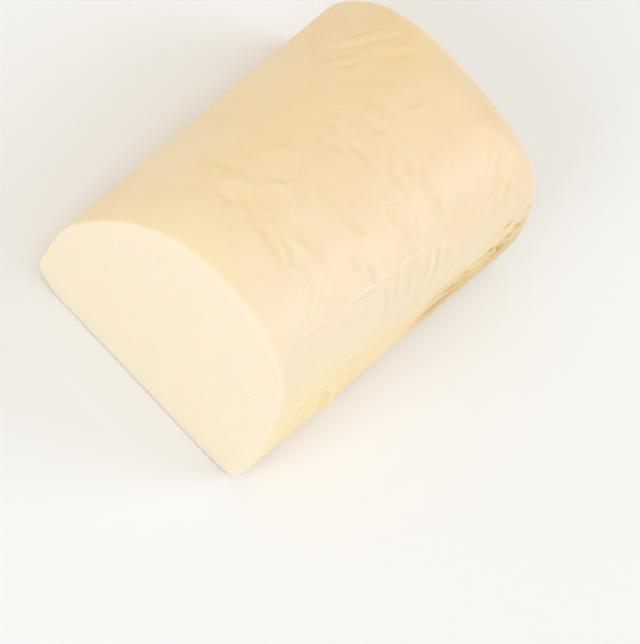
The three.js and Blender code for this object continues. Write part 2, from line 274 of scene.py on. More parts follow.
# Painted shade: the rind deepens at these rates towards the far end and towards -X.
SHADE_DEPTH_ALONG, SHADE_DEPTH_AROUND = (75.0, 0.0044), (165.0, 0.0021)     # neutral place, growth per mm
STREAK_SCALES = (0.30, 0.09)    # streaks that follow the creases
GROOVE_SHADE_RELIEF = (0.10, -0.35)   # relief over which the painted shade in a groove sets in, in millimetres
# Painted shade in the grooves: a deeper, yellower colour where the relief sinks.
GROOVE_SHADE_SHARE, GROOVE_SHADE_TINT = 0.36, (0.985, 0.935, 0.79)

# Painted light and shade by place: the rind is made paler where light falls fully and deeper or warmer
# where it is shaded. Each is given as factors on the rind's red, green and blue, then the steps over
# which the tint sets in, as (mark, from, to).
PAINTED_LIGHT_TINTS = (
    ((1.01, 1.04, 1.15), ("around", 176, 140)),
    ((1.0, 1.0, 0.95), ("around", 120, 100)),
    ((1.05, 1.05, 0.99), ("around", 128, 110), ("along", 80, 15)),
    ((1.115, 1.07, 1.03), ("around", 176, 204)),
    ((1.07, 1.03, 1.0), ("along", 24, 3), ("around", 150, 185)),
    ((1.014, 1.028, 1.045), ("along", 66, 30), ("around", 152, 162), ("around", 208, 192)),
    ((0.99, 0.97, 0.93), ("along", 88, 106), ("around", 140, 148), ("around", 164, 154)),
    ((1.03, 1.022, 1.012), ("around", 126, 108)),
)

# The far lower corner, where the wall turns under, gets painted shade: a band of tan streaks and deeper
# painted shade under it. Nearer the cut there is a warm lip instead.
FAR_FROM = (78.0, 100.0)        # the streaks begin between these places along the loaf
FAR_RAGGED = (34.0, 9.0)        # how ragged that beginning is, and the band's upper edge
FOOT_FADE, DOME_FADE = (46.0, 76.0), (0.55, 0.95)   # fade towards the foot, and on the end dome
BAND_SCALES, BAND_LAYER = (0.055, 1.25), 3.0
BAND_AROUND, BAND_LINES = (104.0, 88.0), (0.38, 0.60)
BAND_STRENGTH, BAND_SHADE_TINT = (0.15, 1.1), (0.92, 0.85, 0.66)
UNDER_SCALES, UNDER_LAYER = (0.045, 0.40), 9.0
UNDER_AROUND, UNDER_LINES = (87.0, 77.0), (0.38, 0.62)
UNDER_STRENGTH, UNDER_SHADE_TINT = (0.55, 0.6), (0.87, 0.77, 0.54)
LIP_AROUND, LIP_TINT = (104.0, 84.0), (1.12, 1.005, 0.89)
RUB_SCALES = (0.12, 0.9)
RUB_BREAKS, RUB_COVER = (0.38, 0.53), 0.88      # the rubs show where their noise is above these

# The cut is nearly even: a faint cloud, a few specks, and less of the rind's colour at its rim.
CLOUD_RANGE = (0.985, 1.015)
SPECK_NOISE, SPECK_SHARE = (0.66, 0.80), 0.10
RIM_ALONG, RIM_SHARE = (0.8, 3.5), 0.6
STREAK_GLOSS, MOTTLE_GLOSS, RUB_GLOSS, CLOUD_GLOSS = 0.16, 0.12, 0.18, 0.10     # on roughness
PORE_BUMP, DRAG_BUMP, STREAK_BUMP = 0.8, 0.30, 0.5      # shares of the bump's height
DRAG_SCALES = (60.0, 700.0)     # drag lines of the knife, across the cut and up it

# Each light, with the stage setting that holds its power, and its place.
LIGHTS = (
    ("front_light", "front_power", (-0.05, -1.556, 1.09)),
    ("back_light", "back_power", (1.1, 1.1, 1.09)),
    ("top_light", "top_power", (0.0, -0.07, 1.9)),
)
LIGHT_TARGET = Vector((0.0, 0.0, 0.03))
LIGHT_SIZE = 0.9

# The photograph's view: the camera looks at AIM_POINT from this side, turned by CAMERA_ROLL.
AIM_POINT = Vector((0.03185, -0.02566, 0.03183))
CAMERA_AZIMUTH = -8.954
CAMERA_ELEVATION = 57.458
CAMERA_ROLL = 38.860
CAMERA_DISTANCE = 3.0
PHOTO_LONG_SIDE = 644           # pixels
FOCAL_PIXELS = 8211             # focal length of the view, in the photograph's pixels
SENSOR_WIDTH = 36.0


# ---- settings -------------------------------------------------------------------------------


class LoafShapeSettings(PropertyGroup):
    """Main sizes of the loaf."""

    width: FloatProperty(name="Width", description="Across the cut", default=0.110, unit="LENGTH")
    height: FloatProperty(
        name="Height", description="From base to crown", default=0.091, unit="LENGTH")
    length: FloatProperty(
        name="Length", description="From the cut to the far end", default=0.161, unit="LENGTH")
    end_spread: FloatProperty(
        name="End spread", description="Share by which the far end is wider", default=0.016)
    end_skew: FloatProperty(
        name="End skew", description="How far the end stands off square, per width", default=-0.05)
    end_bulge: FloatProperty(
        name="End bulge", description="How far the end domes out", default=0.013, unit="LENGTH")
    end_lean: FloatProperty(
        name="End lean", description="How far the end leans back at the crown", default=0.026,
        unit="LENGTH")
    cut_edge_radius: FloatProperty(
        name="Cut edge radius", description="Softened rim of the cut", default=0.0014, unit="LENGTH")


class LoafSkinSettings(PropertyGroup):
    """Relief that the wrap left on the rind, and the pits in the cut."""

    track_strength: FloatProperty(
        name="Fold strength", description="Share of the listed height of folds", default=1.0)
    crinkle_depth: FloatProperty(
        name="Crinkle depth", description="Height of the crease pattern", default=0.00064,
        unit="LENGTH")
    crinkle_spacing: FloatProperty(
        name="Crinkle spacing", description="Distance from one crease to the next", default=0.0065,
        unit="LENGTH")
    crinkle_length: FloatProperty(
        name="Crinkle length", description="Length of one crease", default=0.0150, unit="LENGTH")
    grain_depth: FloatProperty(
        name="Grain depth", description="Height of the fine unevenness", default=0.00010,
        unit="LENGTH")
    crinkle_seed: FloatProperty(name="Crinkle seed", description="Picks the pattern", default=4.7)
    pit_spacing: FloatProperty(
        name="Pit spacing", description="Least distance between pits", default=0.021, unit="LENGTH")
    pit_radius: FloatProperty(
        name="Pit radius", description="Radius of the largest pits", default=0.00036, unit="LENGTH")
    pit_seed: IntProperty(name="Pit seed", description="Picks the places of the pits", default=11)


class LoafFinishSettings(PropertyGroup):
    """Colours and gloss of the cheese."""

    rind_colour: FloatVectorProperty(
        name="Rind", description="Colour of the rind", subtype="COLOR", size=3,
        default=(0.888, 0.735, 0.510))
    rind_deep_colour: FloatVectorProperty(
        name="Deep rind", description="Colour of the deeper patches", subtype="COLOR", size=3,
        default=(0.850, 0.652, 0.394))
    cut_colour: FloatVectorProperty(
        name="Cut", description="Colour of the fresh cut", subtype="COLOR", size=3,
        default=(0.930, 0.814, 0.643))
    rub_colour: FloatVectorProperty(
        name="Rubs", description="Tan rubs on the far lower corner", subtype="COLOR", size=3,
        default=(0.60, 0.35, 0.13))
    rind_roughness: FloatProperty(
        name="Rind roughness", description="Mean roughness of the rind", default=0.46)
    cut_roughness: FloatProperty(
        name="Cut roughness", description="Mean roughness of the cut", default=0.52)
    translucence: FloatProperty(
        name="Translucence", description="Share of light scattered inside the cheese", default=0.45)


class StageSettings(PropertyGroup):
    """Floor, light and camera."""

    floor_colour: FloatVectorProperty(
        name="Floor", description="Colour of the floor", subtype="COLOR", size=3,
        default=(0.885, 0.90, 0.925))
    floor_size: FloatProperty(
        name="Floor size", description="Side of the floor", default=6.0, unit="LENGTH")
    front_power: FloatProperty(
        name="Front light", description="Power of the front light", default=9.6)
    back_power: FloatProperty(
        name="Back light", description="Power of the back right light", default=7.7)
    top_power: FloatProperty(
        name="Top light", description="Power of the overhead light", default=1.6)
    light_colour: FloatVectorProperty(
        name="Light", description="Colour of the lights", subtype="COLOR", size=3,
        default=(0.94, 1.0, 1.12))
    room_strength: FloatProperty(
        name="Room light", description="Even light of the room", default=0.753)
    room_colour: FloatVectorProperty(
        name="Room", description="Colour of the even light", subtype="COLOR", size=3,
        default=(1.0, 0.945, 0.83))


# ---- node building --------------------------------------------------------------------------


class Wire:
    """A node's output that takes part in plain sums: an expression on it adds its Math nodes."""

    def __init__(self, board, socket):
        self.board = board
        self.socket = socket

    def math(self, operation, *values):
        return self.board.node("ShaderNodeMath", {"operation": operation}, dict(enumerate(values)))

    def __add__(self, other):
        return self.math("ADD", self, other)

    def __sub__(self, other):
        return self.math("SUBTRACT", self, other)

    def __rsub__(self, other):
        return self.math("SUBTRACT", other, self)

    def __mul__(self, other):
        return self.math("MULTIPLY", self, other)

    def __rmul__(self, other):
        return self.math("MULTIPLY", other, self)

    def __truediv__(self, other):
        return self.math("DIVIDE", self, other)

    def __abs__(self):
        return self.math("ABSOLUTE", self)

    def least(self, other):
        return self.math("MINIMUM", self, other)

    def most(self, other):
        return self.math("MAXIMUM", self, other)

    def clamped(self):
        return self.most(0.0).least(1.0)


class Board:
    """Adds nodes to one node tree."""

    def __init__(self, tree):
        self.tree = tree

    def node(self, kind, settings=None, inputs=None, output=0):
        """Adds a node: its settings first, then the values or wires of its sockets."""
        node = self.tree.nodes.new(kind)
        for name, value in (settings or {}).items():
            setattr(node, name, value)
        for name, value in (inputs or {}).items():
            if isinstance(value, Wire):
                self.tree.links.new(value.socket, node.inputs[name])
            else:
                node.inputs[name].default_value = value
        return Wire(self, node.outputs[output]) if node.outputs else node

    def smooth(self, value, low, high, to_low=0.0, to_high=1.0):
        """Value's smooth passage from low to high, as to_low to to_high."""
        settings = {"interpolation_type": "SMOOTHSTEP"}
        inputs = {0: value, 1: low, 2: high, 3: to_low, 4: to_high}
        return self.node("ShaderNodeMapRange", settings, inputs)

    def vector(self, x, y, z):
        return self.node("ShaderNodeCombineXYZ", None, {0: x, 1: y, 2: z})

    def noise(self, place, scale, detail=2.0, roughness=0.5, distortion=0.0):
        """Soft noise of mean 0.5 at a place."""
        inputs = {
            "Vector": place, "Scale": scale, "Detail": detail, "Roughness": roughness,
            "Distortion": distortion,
        }
        return self.node("ShaderNodeTexNoise", {"noise_dimensions": "3D"}, inputs)

    def streaks(self, first, second, scales, layer=0.0, detail=2.0, roughness=0.5):
        """Soft noise over two marks, drawn out by its scales."""
        place = self.vector(first * scales[0], second * scales[1], layer)
        return self.noise(place, 1.0, detail, roughness)

    def knife_noise(self, place, scales, detail):
        """Soft noise across the cut and up it, the same all along the loaf."""
        across, up = (
            self.node("ShaderNodeSeparateXYZ", None, {0: place}, output=axis) for axis in "XZ")
        return self.noise(self.vector(across * scales[0], 0.0, up * scales[1]), 1.0, detail)

    def mix(self, share, first, second, blend="MIX"):
        """Mixes two colours."""
        settings = {
            "data_type": "RGBA", "blend_type": blend, "clamp_factor": True, "clamp_result": False,
        }
        return self.node("ShaderNodeMix", settings, {0: share, 6: first, 7: second}, output=2)

    def tint(self, share, colour, factors):
        """The colour, with its red, green and blue multiplied by the factors where share is 1."""
        return self.mix(share, colour, (*factors, 1.0), "MULTIPLY")


def clean_board(owner):
    """A board on the emptied node tree of a material or a world."""
    owner.use_nodes = True
    owner.node_tree.nodes.clear()
    return Board(owner.node_tree)


# ---- the loaf's form ------------------------------------------------------------------------


def outline_points(width, height):
    """Points of the loaf's outline, as a closed cubic B-spline that is flat on the base."""
    controls = np.array(OUTLINE) * (width, height)
    t = np.arange(SPLINE_STEPS) / SPLINE_STEPS
    weights = np.stack((
        (1 - t) ** 3,
        3 * t ** 3 - 6 * t ** 2 + 4,
        -3 * t ** 3 + 3 * t ** 2 + 3 * t + 1,
        t ** 3,
    ), axis=1) / 6
    count = len(controls)
    stretches = []
    for i in range(count):
        window = controls[[(i + step) % count for step in (-1, 0, 1, 2)]]
        stretches.append(weights @ window)
    points = np.concatenate(stretches)
    points[:, 1] = np.maximum(points[:, 1], 0)
    return points


def column_places(total):
    """Places round the loaf of the lines that run along it, in millimetres."""
    places = []
    start = 0.0
    for stretch_end, spacing in COLUMN_SPACING:
        end = min(stretch_end, total)
        steps = round((end - start) / spacing)
        places.extend(np.linspace(start, end, steps, endpoint=False))
        start = end
        if end == total:
            break
    return np.array(places)


def outline_columns(shape):
    """Places round the loaf, with the outline's point and outward direction at each."""
    points = outline_points(shape.width / MM, shape.height / MM)
    closed = np.vstack((points, points[:1]))
    lengths = np.concatenate(([0.0], np.cumsum(np.hypot(*np.diff(closed, axis=0).T))))
    total = lengths[-1]

    def at(places):
        wanted = np.mod(places, total)
        across, up = (np.interp(wanted, lengths, column) for column in closed.T)
        return np.stack((across, up), axis=1)

    around = column_places(total)
    direction = at(around + OUTWARD_PROBE) - at(around - OUTWARD_PROBE)
    direction /= np.linalg.norm(direction, axis=1)[:, None]
    outward = np.stack((direction[:, 1], -direction[:, 0]), axis=1)
    return around, at(around), outward


def end_place(shape, across, height):
    """How far the far end reaches at a place of the section, before its dome."""
    lean_start = LEAN_START / MM
    share = np.clip((height - lean_start) / (shape.height / MM - lean_start), 0, 1)
    lean = shape.end_lean / MM * (1 - np.sqrt(1 - share * share))
    return shape.length / MM - lean + shape.end_skew * across


def track_height(track, along, around):
    """Height of one raised line or groove at places on the rind."""
    height, width, *places = track
    places = np.array(places, float)
    runs = np.diff(places, axis=0)
    lengths = np.hypot(*runs.T)
    before = np.concatenate(([0.0], np.cumsum(lengths)))
    nearest = np.full(np.broadcast(along, around).shape, np.inf)
    share = np.zeros(nearest.shape)
    for start, run, length, passed in zip(places, runs, lengths, before):
        run = run / length
        reach = np.clip((along - start[0]) * run[0] + (around - start[1]) * run[1], 0, length)
        distance = np.hypot(along - start[0] - run[0] * reach, around - start[1] - run[1] * reach)
        share = np.where(distance < nearest, (passed + reach) / before[-1], share)
        nearest = np.minimum(nearest, distance)
    fade = np.abs(np.sin(np.pi * share)) ** TRACK_FADE_POWER
    aside = (nearest / width) ** 2
    return height * fade * (1 - TRACK_BANKS * aside) * np.exp(-aside)


def tuck_depth(along, around):
    """How far the skin is tucked in below the fold."""
    share = np.clip((along - TUCK_FROM) / (TUCK_TO - TUCK_FROM), 0, 1)
    down = np.clip((TUCK_TOP - around) / (TUCK_TOP - TUCK_BOTTOM), 0, 1)
    profile = np.minimum(down / TUCK_LIP, 1) * (1 - down)
    return TUCK_DEPTH * profile * np.sqrt(np.sin(np.pi * share))


def fold_relief(along, around, strength):
    """Folds, seams and the tuck together, in millimetres, fading out at the cut."""
    raised = sum(track_height(track, along, around) for track in TRACKS) * strength
    return (raised - tuck_depth(along, around)) * np.clip(along / FADE_NEAR_CUT, 0, 1)


def arc_place(along, around):
    """A coordinate that is the same all along one arc of the crease pattern."""
    places, left, right = np.array(ARC_BENDS).T
    aside = around - CROWN_AROUND
    reach = np.where(aside > 0, ARC_REACH_LEFT, ARC_REACH_RIGHT)
    bend = np.where(aside > 0, np.interp(along, places, left), np.interp(along, places, right))
    return along + bend * reach ** 2 * (1 - np.exp(-((aside / reach) ** 2)))


def soft_step(value, low, high):
    share = np.clip((value - low) / (high - low), 0, 1)
    return share * share * (3 - 2 * share)


def bell(value, middle, half_width):
    return np.exp(-(((value - middle) / half_width) ** 2))


def crinkle_share(along, around):
    """How strongly the crease pattern shows at a place on the rind."""
    near_cut = 0.25 + 0.75 * soft_step(along, 10, 28)
    lively_crown = 1 + 0.7 * bell(along, 42, 18) * bell(around, 190, 16)
    far_shoulder = 0.6 * soft_step(along, 96, 118)
    smooth_shoulder = 1 - 0.75 * soft_step(around, 200, 222) * (1 - far_shoulder)
    plain_foot = soft_step(around, 58, 84) * (1 - soft_step(around, 276, 292))
    quiet_wall = 0.5 + 0.5 * soft_step(around, 112, 128)
    crumpled_wall = 1 + soft_step(along, 48, 62) * bell(around, 112, 16)
    return near_cut * lively_crown * smooth_shoulder * plain_foot * quiet_wall * crumpled_wall


def rub_share(along, around):
    """How strongly the dull tan rubs show."""
    marks = [
        bell(along, rub_along, half_length) * bell(around, rub_around, half_width)
        for rub_along, rub_around, half_length, half_width in RUBS
    ]
    return np.clip(sum(marks), 0, 1)


class LoafRings:
    """Rings of points from the middle of the cut to the far end, with what each point is."""

    def __init__(self, around):
        self.around = around
        self.points = []
        self.marks = {}

    def add(self, x, y, z, along, crinkle=0.0, dimple=0.0, skin=0.0, fold=0.0, wall=1.0):
        """Adds one ring. A single value holds for the whole ring. Wall says how far the ring's
        colour still follows the wall, and is 0 in the middle of the end."""
        size = len(self.around)
        self.points.append(np.stack([np.broadcast_to(v, size) for v in (x, y, z)], axis=1))
        along = np.broadcast_to(along, size)
        values = {
            "along": along,
            "around": END_AROUND + (self.around - END_AROUND) * wall,
            "arc": along + (arc_place(along, self.around) - along) * wall,
            "crinkle": crinkle, "dimple": dimple, "skin": skin, "fold": fold, "wall": wall,
            "rub": rub_share(along, self.around) * skin * wall,
        }
        for name, value in values.items():
            self.marks.setdefault(name, []).append(np.broadcast_to(value, size))


def loaf_rings(shape, skin):
    """All rings of the loaf, in millimetres, with the cut at y = 0."""
    around, section, outward = outline_columns(shape)
    across, up = section.T
    out_across, out_up = outward.T
    middle_up = SECTION_MIDDLE * shape.height / MM
    radius = shape.cut_edge_radius / MM
    above_base = np.clip(up / BASE_RIM_HEIGHT, 0, 1)
    rings = LoafRings(around)

    inset_across = across - out_across * radius
    inset_up = np.maximum(up - out_up * radius * above_base, 0)
    for k in range(1, FACE_RINGS + 1):
        size = (k / FACE_RINGS) ** FACE_RING_POWER
        rings.add(inset_across * size, 0.0, middle_up + (inset_up - middle_up) * size, 0.0)

    for k in range(1, EDGE_RINGS):
        angle = k / EDGE_RINGS * math.pi / 2
        inset = radius * (1 - math.sin(angle))
        depth = radius * (1 - math.cos(angle))
        ring_up = np.maximum(up - out_up * inset * above_base, 0)
        rings.add(across - out_across * inset, depth, ring_up, depth, skin=soft_step(k, *RIND_RINGS))

    body_length = end_place(shape, across, up) - shape.end_bulge / MM
    rows = math.ceil((shape.length / MM - shape.end_bulge / MM) / ROW_SPACING)
    first_share = radius / (shape.length / MM)
    for row in range(rows + 1):
        share = first_share + (1 - first_share) * row / rows
        along = share * body_length
        crinkle = crinkle_share(along, around)
        fold = fold_relief(along, around, skin.track_strength) * (up > 0)
        x = (across + out_across * fold) * (1 + shape.end_spread * share)
        z = np.maximum(up + out_up * fold, 0)
        fade = soft_step(share, *DENTS_TAKE_OVER)
        rings.add(x, along, z, along, crinkle=crinkle * (1 - fade), dimple=crinkle * fade * (up > 0),
                  skin=1.0, fold=fold)

    bulge_size = shape.end_bulge / MM
    for k in range(1, CAP_RINGS):
        angle = k / CAP_RINGS * math.pi / 2
        size = math.cos(angle) ** (2 / DOME_POWER)
        inner_across = across * size
        inner_up = middle_up + (up - middle_up) * size
        bulge = bulge_size * (1 - (1 - size ** DOME_POWER) ** (1 / DOME_POWER))
        y = end_place(shape, inner_across, inner_up) - bulge
        dimple = soft_step(up, *DENTS_FROM_BASE) * DENT_SHARE
        rings.add(inner_across * (1 + shape.end_spread), y, inner_up, y, dimple=dimple, skin=1.0,
                  wall=soft_step(size, *WALL_ENDS))
    return rings, middle_up


def loaf_mesh(shape, skin):
    """The loaf as one closed mesh with its marks as attributes, before the fine creases."""
    rings, middle_up = loaf_rings(shape, skin)
    width = len(rings.around)
    count = len(rings.points)
    far_middle = end_place(shape, 0.0, middle_up)
    middle_points = np.array([[0, 0, middle_up], [0, far_middle, middle_up]])
    points = np.concatenate([*rings.points, middle_points])
    row, column = np.meshgrid(np.arange(count - 1), np.arange(width), indexing="ij")
    following = (column + 1) % width
    quads = np.stack((
        row * width + column,
        row * width + following,
        (row + 1) * width + following,
        (row + 1) * width + column,
    ), axis=-1).reshape(-1, 4)
    cut_middle = count * width
    end_middle = cut_middle + 1
    last = (count - 1) * width
    fans = []
    for i in range(width):
        after = (i + 1) % width
        fans.append((cut_middle, after, i))
        fans.append((end_middle, last + i, last + after))
    faces = [tuple(face[::-1]) for face in quads.tolist() + fans]
    mesh = bpy.data.meshes.new(LOAF_PIECE)
    mesh.from_pydata((points * MM).tolist(), [], faces)
    at_end = {"skin": 1.0, "along": far_middle, "arc": far_middle, "around": END_AROUND}
    for name, values in rings.marks.items():
        middles = np.array([0.0, at_end.get(name, 0.0)])
        attribute = mesh.attributes.new(name, "FLOAT", "POINT")
        attribute.data.foreach_set("value", np.concatenate([*values, middles]).astype(np.float32))
    mesh.update()
    return mesh


# ---- fine creases and pits, made with Geometry Nodes ----------------------------------------


# Inputs of the tree, with the setting that each one takes.
CREASE_INPUTS = {
    "Crinkle Depth": "crinkle_depth", "Crinkle Spacing": "crinkle_spacing",
    "Crinkle Length": "crinkle_length", "Grain Depth": "grain_depth", "Pattern Seed": "crinkle_seed",
    "Pit Spacing": "pit_spacing", "Pit Radius": "pit_radius", "Pit Seed": "pit_seed",
}


def creased_rind_tree():
    """A tree that creases the rind, waves the cut a little and sinks pits into it."""
    tree = bpy.data.node_groups.new("creased_rind", "GeometryNodeTree")
    tree.is_modifier = True
    face = tree.interface
    face.new_socket("Geometry", in_out="OUTPUT", socket_type="NodeSocketGeometry")
    face.new_socket("Geometry", in_out="INPUT", socket_type="NodeSocketGeometry")
    for name, setting in CREASE_INPUTS.items():
        kind = "NodeSocketInt" if setting == "pit_seed" else "NodeSocketFloat"
        face.new_socket(name, in_out="INPUT", socket_type=kind)
    face.new_socket("Cheese", in_out="INPUT", socket_type="NodeSocketMaterial")
    board = Board(tree)
    entry = tree.nodes.new("NodeGroupInput")

    def given(name):
        return Wire(board, entry.outputs[name])

    def mark(name):
        return board.node("GeometryNodeInputNamedAttribute", {"data_type": "FLOAT"}, {"Name": name})

    around = mark("around")
    arc = mark("arc")
    seed = given("Pattern Seed")
    place = board.node("GeometryNodeInputPosition")
    normal = board.node("GeometryNodeInputNormal")

    # Patches where the wrap was tight, and a slow bend of the creases, so that they don't line up.
    tight = board.streaks(arc, around, PATCH_SCALES, seed, detail=1.0)
    patch = board.smooth(tight, *PATCH_RANGE)
    bend = board.streaks(arc, around, BEND_SCALES, seed + 7.0) - 0.5

    # Long creases, and shorter sharper ones between them.
    across_creases = arc / (given("Crinkle Spacing") / MM) + bend * BEND_REACH
    along_creases = around / (given("Crinkle Length") / MM)
    long_place = board.vector(across_creases, along_creases, seed + 1.0)
    long_creases = board.noise(long_place, 1.0, detail=1.0, roughness=0.4, distortion=0.25) - 0.5
    finer_across, finer_along = SHORT_FINENESS
    short_place = board.vector(across_creases * finer_across, along_creases * finer_along, seed + 3.0)
    short_creases = board.noise(short_place, 1.0, detail=1.0, roughness=0.5, distortion=0.35) - 0.5
    sharp = SHARP_WIDTH - abs(short_creases).least(SHARP_WIDTH)
    crease = long_creases + short_creases * SHORT_SHARE - sharp * SHARP_SHARE
    crinkle = crease * patch * mark("crinkle") * given("Crinkle Depth")

    # Rounder dents on the far end, and a fine unevenness over the whole rind.
    dents = board.noise(place, 95.0, detail=2.0, roughness=0.45, distortion=0.4) - 0.5
    dents = dents * mark("dimple") * given("Crinkle Depth") * DENT_HEIGHT
    grain = (board.noise(place, 420.0) - 0.5) * given("Grain Depth") * 2.0
    rise = crinkle + dents + grain * mark("crinkle").most(mark("dimple"))
    outwards = board.node(
        "ShaderNodeVectorMath", {"operation": "SCALE"}, {0: normal, "Scale": rise})

    # The knife left the cut very slightly wavy, only ever inwards.
    wave = board.knife_noise(place, KNIFE_SCALES, 1.0)
    knife = board.vector(0.0, wave * (1.0 - mark("skin")) * KNIFE_DEPTH, 0.0)
    offset = board.node("ShaderNodeVectorMath", {"operation": "ADD"}, {0: outwards, 1: knife})
    shifted = board.node(
        "GeometryNodeSetPosition", None, {"Geometry": given("Geometry"), "Offset": offset})
    marked = board.node(
        "GeometryNodeStoreNamedAttribute", {"data_type": "FLOAT", "domain": "POINT"},
        {"Geometry": shifted, "Name": "relief", "Value": mark("fold") + rise / MM})

    # Pits: small round pockets that the cut opened.
    normal_y = board.node("ShaderNodeSeparateXYZ", None, {0: normal}, output="Y")
    on_cut = board.node(
        "FunctionNodeCompare", {"data_type": "FLOAT", "operation": "LESS_THAN"},
        {0: normal_y, 1: CUT_NORMAL})
    scatter = board.node(
        "GeometryNodeDistributePointsOnFaces", {"distribute_method": "POISSON"},
        {"Mesh": marked, "Selection": on_cut, "Distance Min": given("Pit Spacing"),
         "Density Max": 2600.0, "Seed": given("Pit Seed")})
    size = board.node(
        "FunctionNodeRandomValue", {"data_type": "FLOAT_VECTOR"},
        {"Min": (0.5, 0.6, 0.45), "Max": (1.0, 1.0, 1.0), "Seed": given("Pit Seed")})
    pocket = board.node(
        "GeometryNodeMeshIcoSphere", None, {"Radius": given("Pit Radius"), "Subdivisions": 3})
    pockets = board.node(
        "GeometryNodeInstanceOnPoints", None, {"Points": scatter, "Instance": pocket, "Scale": size})
    pocket_mesh = board.node("GeometryNodeRealizeInstances", None, {"Geometry": pockets})
    pitted = board.node(
        "GeometryNodeMeshBoolean", {"operation": "DIFFERENCE", "solver": "EXACT"},
        {"Mesh 1": marked, "Mesh 2": pocket_mesh})
    whole = board.node("GeometryNodeRealizeInstances", None, {"Geometry": pitted})
    dressed = board.node(
        "GeometryNodeSetMaterial", None, {"Geometry": whole, "Material": given("Cheese")})
    leave = tree.nodes.new("NodeGroupOutput")
    tree.links.new(dressed.socket, leave.inputs[0])
    return tree


def crease_rind(base, skin, material):
    """Runs the tree on the base mesh and returns the result as a plain mesh."""
    tree = creased_rind_tree()
    carrier = bpy.data.objects.new("loaf_blank", base)
    bpy.context.scene.collection.objects.link(carrier)
    modifier = carrier.modifiers.new("creases", "NODES")
    modifier.node_group = tree
    values = {name: getattr(skin, setting) for name, setting in CREASE_INPUTS.items()}
    values["Cheese"] = material
    for item in tree.interface.items_tree:
        if item.in_out == "INPUT" and item.name in values:
            modifier[item.identifier] = values[item.name]
    graph = bpy.context.evaluated_depsgraph_get()
    mesh = bpy.data.meshes.new_from_object(carrier.evaluated_get(graph), depsgraph=graph)
    bpy.data.objects.remove(carrier)
    bpy.data.meshes.remove(base)
    return mesh


def fit_to_box(mesh, low, high):
    """Stretches the mesh by the last fraction of a millimetre, so that it fills the CAD box."""
    points = np.zeros(len(mesh.vertices) * 3, np.float32)
    mesh.vertices.foreach_get("co", points)
    points = points.reshape(-1, 3).astype(float)
    from_low, from_high = points.min(0), points.max(0)
    stretch = (np.array(high) - np.array(low)) / (from_high - from_low)
    fitted = np.array(low) + (points - from_low) * stretch
    mesh.vertices.foreach_set("co", fitted.astype(np.float32).ravel())
    mesh.update()


# ---- the cheese -----------------------------------------------------------------------------


def rgba(colour, scale=1.0):
    return (colour[0] * scale, colour[1] * scale, colour[2] * scale, 1.0)


def tint_far_corner(board, marks, colour):
    """Adds painted shade to the far lower corner, where the wall turns under, broken into tan streaks,
    and the warm lip nearer the cut.
    """
    along = marks["along"]
    around = marks["around"]
    lines = board.streaks(along, around, BAND_SCALES, BAND_LAYER, detail=3.0, roughness=0.65)
    ragged_along, ragged_around = ((lines - 0.5) * reach for reach in FAR_RAGGED)
    far = board.smooth(along + ragged_along, *FAR_FROM)
    shown = far * board.smooth(around, *FOOT_FADE) * board.smooth(marks["wall"], *DOME_FADE)
    least, added = BAND_STRENGTH
    # Painted shade of the undercut wall, broken into streaks.
    band = board.smooth(around + ragged_around, *BAND_AROUND) * shown
    colour = board.tint(band * (board.smooth(lines, *BAND_LINES) * added + least), colour, BAND_SHADE_TINT)
    lines = board.streaks(along, around, UNDER_SCALES, UNDER_LAYER, detail=3.0)
    least, added = UNDER_STRENGTH
    # Deeper painted shade lower down, where the wall faces the floor.
    under = board.smooth(around, *UNDER_AROUND) * shown
    colour = board.tint(under * (board.smooth(lines, *UNDER_LINES) * added + least), colour, UNDER_SHADE_TINT)
    return board.tint(board.smooth(around, *LIP_AROUND) * (1.0 - far), colour, LIP_TINT)


